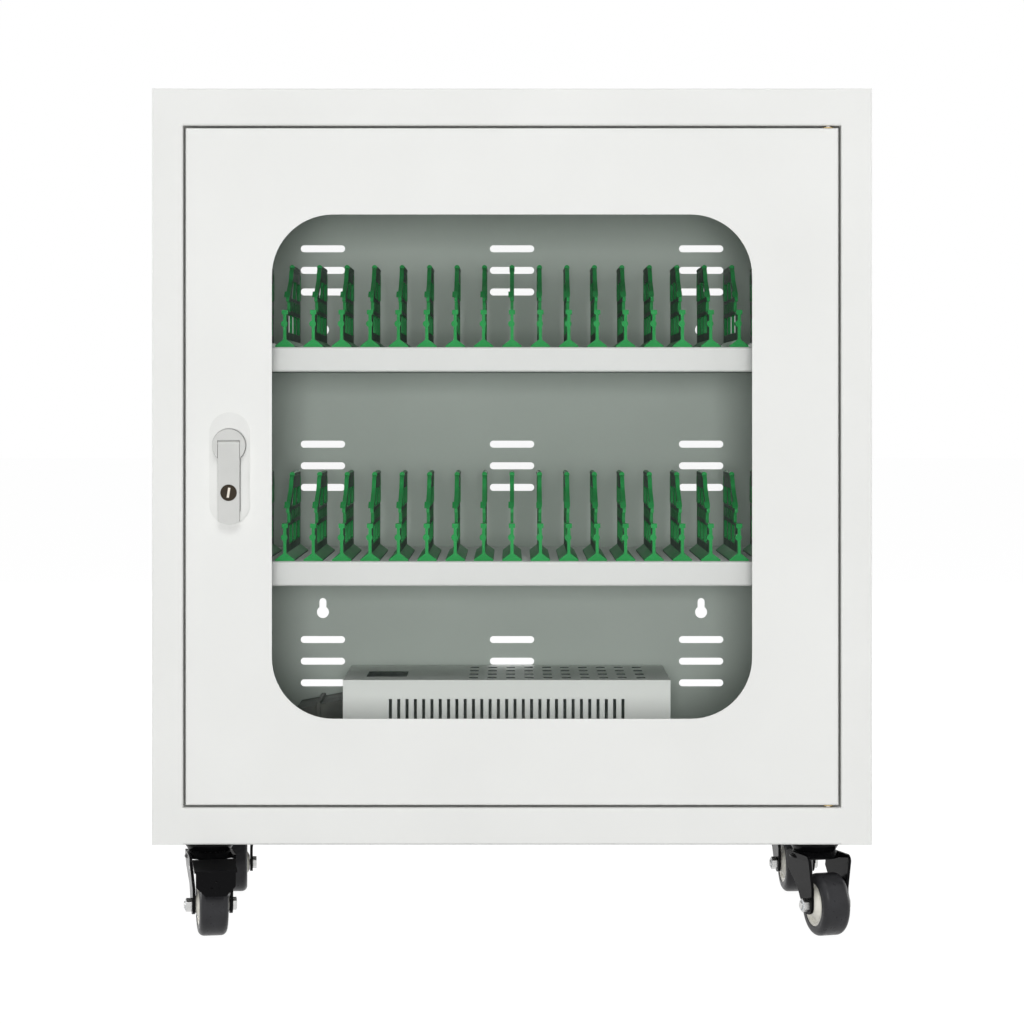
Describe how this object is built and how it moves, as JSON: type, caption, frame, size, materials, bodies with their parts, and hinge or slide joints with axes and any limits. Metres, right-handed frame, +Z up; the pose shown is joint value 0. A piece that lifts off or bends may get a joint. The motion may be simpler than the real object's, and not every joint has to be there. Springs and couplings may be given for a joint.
{
  "type": "cell phone locker box",
  "caption": "White steel phone locker on swivel casters, with a glazed hinged door, flip-handle lock, shelves of green moulded dividers and a vented power box.",
  "frame": {"origin": "centre of the bounding box in X and Y, on the floor under the casters", "axes": "+Z up, -Y out of the door side, +X to the right of someone who faces the door"},
  "size_m": [0.6, 0.3218, 0.708],
  "materials": {
    "cabinet_paint": "fine white powder coat",
    "inner_paint": "white powder coat, in the shade",
    "door_paint": "fine white powder coat",
    "power_box_paint": "white powder coat",
    "zinc_sheet": "zinc-plated sheet",
    "zinc_hardware": "bright zinc plate",
    "divider_plastic": "green injection-moulded plastic",
    "board_laminate": "circuit board",
    "component_plastic": "black parts on the board",
    "inlet_plastic": "black moulded plastic",
    "contact_metal": "plated contacts",
    "window_glass": "clear, faintly green",
    "gasket_rubber": "black",
    "lock_metal": "satin plated casting",
    "key_brass": "dark bronze",
    "bush_brass": "sintered bush",
    "caster_black": "gloss black",
    "rim_plastic": "cream moulded wheel core",
    "tyre_rubber": "dark grey, slightly glossy"
  },
  "bodies": {
    "root": {"left_side_panel": "cabinet_paint", "right_side_panel": "cabinet_paint", "top_panel": "cabinet_paint", "bottom_panel": "cabinet_paint", "back_panel": "inner_paint", "upper_shelf": "inner_paint", "upper_shelf_cover": "inner_paint", "lower_shelf": "inner_paint", "lower_shelf_cover": "inner_paint", "shelf_brackets": "inner_paint", "upper_dividers": "divider_plastic", "lower_dividers": "divider_plastic", "power_box_base": "zinc_sheet", "power_box_cover": "power_box_paint", "supply_board": "board_laminate", "supply_components": "component_plastic", "inlet_housing": "inlet_plastic", "inlet_pins": "contact_metal", "upper_hinge_bracket": "zinc_sheet", "lower_hinge_bracket": "zinc_sheet", "hinge_pins": "zinc_hardware", "door_buffers": "gasket_rubber", "caster_nuts": "zinc_hardware", "swivel_bearings": "zinc_hardware", "front_left_stem": "caster_black", "front_right_stem": "caster_black", "rear_left_stem": "caster_black", "rear_right_stem": "caster_black"},
    "door": {"door_panel": "door_paint", "glass_frame": "door_paint", "window_glass": "window_glass", "window_gasket": "gasket_rubber", "glass_frame_screws": "zinc_hardware", "hinge_bushes": "bush_brass", "lock_bezel": "lock_metal"},
    "lock_head": {"lock_head": "lock_metal", "lock_handle_pin": "zinc_hardware", "lock_cam": "zinc_sheet", "cam_screw": "zinc_hardware"},
    "lock_handle": {"lock_handle": "lock_metal"},
    "key_cylinder": {"key_cylinder": "key_brass"},
    "front_left_fork": {"front_left_fork": "caster_black", "front_left_axle": "zinc_hardware", "brake_pedal_pin": "zinc_hardware"},
    "front_left_wheel": {"front_left_rim": "rim_plastic", "front_left_tyre": "tyre_rubber"},
    "front_right_fork": {"front_right_fork": "caster_black", "front_right_axle": "zinc_hardware"},
    "front_right_wheel": {"front_right_rim": "rim_plastic", "front_right_tyre": "tyre_rubber"},
    "rear_left_fork": {"rear_left_fork": "caster_black", "rear_left_axle": "zinc_hardware"},
    "rear_left_wheel": {"rear_left_rim": "rim_plastic", "rear_left_tyre": "tyre_rubber"},
    "rear_right_fork": {"rear_right_fork": "caster_black", "rear_right_axle": "zinc_hardware"},
    "rear_right_wheel": {"rear_right_rim": "rim_plastic", "rear_right_tyre": "tyre_rubber"},
    "brake_pedal": {"brake_pedal": "caster_black"}
  },
  "joints": [
    {"name": "door_hinge", "type": "hinge", "parent": "root", "child": "door", "pos_m": [0.2637, -0.13411, 0.393], "axis": [0, 0, 1], "range_deg": [0, 110]},
    {"name": "lock_head_turn", "type": "hinge", "parent": "door", "child": "lock_head", "pos_m": [-0.235, -0.13911, 0.4106], "axis": [0, -1, 0], "range_deg": [0, 90]},
    {"name": "lock_handle_flip", "type": "hinge", "parent": "lock_head", "child": "lock_handle", "pos_m": [-0.235, -0.14706, 0.41225], "axis": [-1, 0, 0], "range_deg": [0, 40]},
    {"name": "key_turn", "type": "hinge", "parent": "lock_handle", "child": "key_cylinder", "pos_m": [-0.235, -0.13911, 0.3716], "axis": [0, -1, 0], "range_deg": [0, 90]},
    {"name": "front_left_swivel", "type": "hinge", "parent": "root", "child": "front_left_fork", "pos_m": [-0.256, -0.09911, 0.064], "axis": [0, 0, 1], "continuous": true},
    {"name": "front_left_spin", "type": "hinge", "parent": "front_left_fork", "child": "front_left_wheel", "pos_m": [-0.25142, -0.12267, 0.026], "axis": [0.9816, 0.1908, 0], "continuous": true},
    {"name": "front_right_swivel", "type": "hinge", "parent": "root", "child": "front_right_fork", "pos_m": [0.256, -0.09911, 0.064], "axis": [0, 0, 1], "continuous": true},
    {"name": "front_right_spin", "type": "hinge", "parent": "front_right_fork", "child": "front_right_wheel", "pos_m": [0.26342, -0.12193, 0.026], "axis": [0.9511, 0.309, 0], "continuous": true},
    {"name": "rear_left_swivel", "type": "hinge", "parent": "root", "child": "rear_left_fork", "pos_m": [-0.256, 0.12089, 0.064], "axis": [0, 0, 1], "continuous": true},
    {"name": "rear_left_spin", "type": "hinge", "parent": "rear_left_fork", "child": "rear_left_wheel", "pos_m": [-0.25391, 0.09698, 0.026], "axis": [0.9962, 0.0872, 0], "continuous": true},
    {"name": "rear_right_swivel", "type": "hinge", "parent": "root", "child": "rear_right_fork", "pos_m": [0.256, 0.12089, 0.064], "axis": [0, 0, 1], "continuous": true},
    {"name": "rear_right_spin", "type": "hinge", "parent": "rear_right_fork", "child": "rear_right_wheel", "pos_m": [0.25851, 0.09702, 0.026], "axis": [0.9945, 0.1045, 0], "continuous": true},
    {"name": "brake_pedal_tilt", "type": "hinge", "parent": "front_left_fork", "child": "brake_pedal", "pos_m": [-0.25066, -0.12659, 0.058], "axis": [0.9816, 0.1908, 0], "range_deg": [0, 16]}
  ]
}
